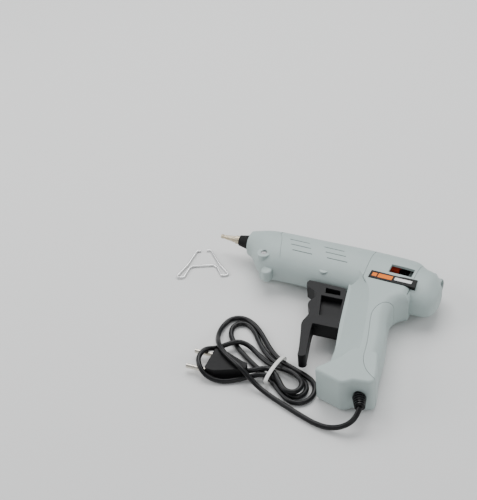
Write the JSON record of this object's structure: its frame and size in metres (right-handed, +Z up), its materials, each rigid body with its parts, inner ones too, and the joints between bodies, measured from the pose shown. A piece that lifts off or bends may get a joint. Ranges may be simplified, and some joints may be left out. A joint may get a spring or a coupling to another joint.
{
  "type": "hot-melt glue gun",
  "caption": "Mains hot-melt glue gun lying on its side, with a long sliding trigger, feed window, brass nozzle, tied lead with plug, and a loose wire stand.",
  "frame": {"origin": "on the bench, under the middle of the gun and its stand as they lie", "axes": "+X back along the barrel from the nozzle, +Y the top of the gun, +Z up, out of the gun's left side"},
  "size_m": [0.2425, 0.1961, 0.036],
  "materials": {
    "housing": "light grey moulded nylon",
    "cover": "light grey moulded nylon",
    "screws": "zinc plated",
    "label": "printed film",
    "nozzle_brass": "turned",
    "silicone": "matt silicone",
    "aluminium": "die cast",
    "heater": "film wrapped",
    "bracket": "heat resistant moulding",
    "carriage": "moulded",
    "gripper": "red moulded",
    "lever": "pressed",
    "steel": "bright",
    "trigger": "black moulded nylon",
    "terminal": "moulded",
    "wire_sleeving": "glass-fibre sleeving",
    "cord": "black, slightly glossy",
    "tie": "paper twist tie",
    "plug": "moulded",
    "pins": "nickel plated",
    "stand_wire": "bright zinc plated wire"
  },
  "bodies": {
    "housing": {"housing_left": "housing", "housing_right": "housing", "grip_cover": "cover", "housing_screws": "screws", "label_plate": "label", "nozzle": "nozzle_brass", "nozzle_sleeve": "silicone", "melt_chamber": "aluminium", "heater_plates": "heater", "chamber_brackets": "bracket", "inlet_sleeve": "silicone", "inlet_collar": "housing", "lever_pin": "steel", "trigger_spring": "steel", "terminal_block": "terminal", "inner_wires": "wire_sleeving", "strain_relief": "cord", "cord_lead": "cord", "cord_hank": "cord", "cord_tie": "tie", "plug_body": "plug", "plug_pins": "pins"},
    "trigger": {"trigger": "trigger"},
    "lever": {"transfer_lever": "lever"},
    "feed": {"feed_carriage": "carriage", "stick_gripper": "gripper"},
    "stand": {"wire_stand": "stand_wire"}
  },
  "joints": [
    {"name": "trigger_slide", "type": "slide", "parent": "housing", "child": "trigger", "axis": [1, 0, 0], "range_m": [0, 0.0136], "stiffness_N_per_m": 400, "springref_m": -0.006, "deforming": ["trigger_spring"]},
    {"name": "lever_pivot", "type": "hinge", "parent": "housing", "child": "lever", "pos_m": [0.0564, 0.03775, 0.018], "axis": [0, 0, 1], "range_deg": [0, 42.1]},
    {"name": "feed_slide", "type": "slide", "parent": "housing", "child": "feed", "axis": [-1, 0, 0], "range_m": [0, 0.0137]},
    {"name": "stand_lift", "type": "slide", "parent": "housing", "child": "stand", "axis": [0, 0, 1], "range_m": [0, 0.06]}
  ],
  "couplings": [
    {"joint": "lever_pivot", "follows": "trigger_slide", "rad_per_m": 53.9},
    {"joint": "feed_slide", "follows": "trigger_slide", "ratio": 1}
  ]
}
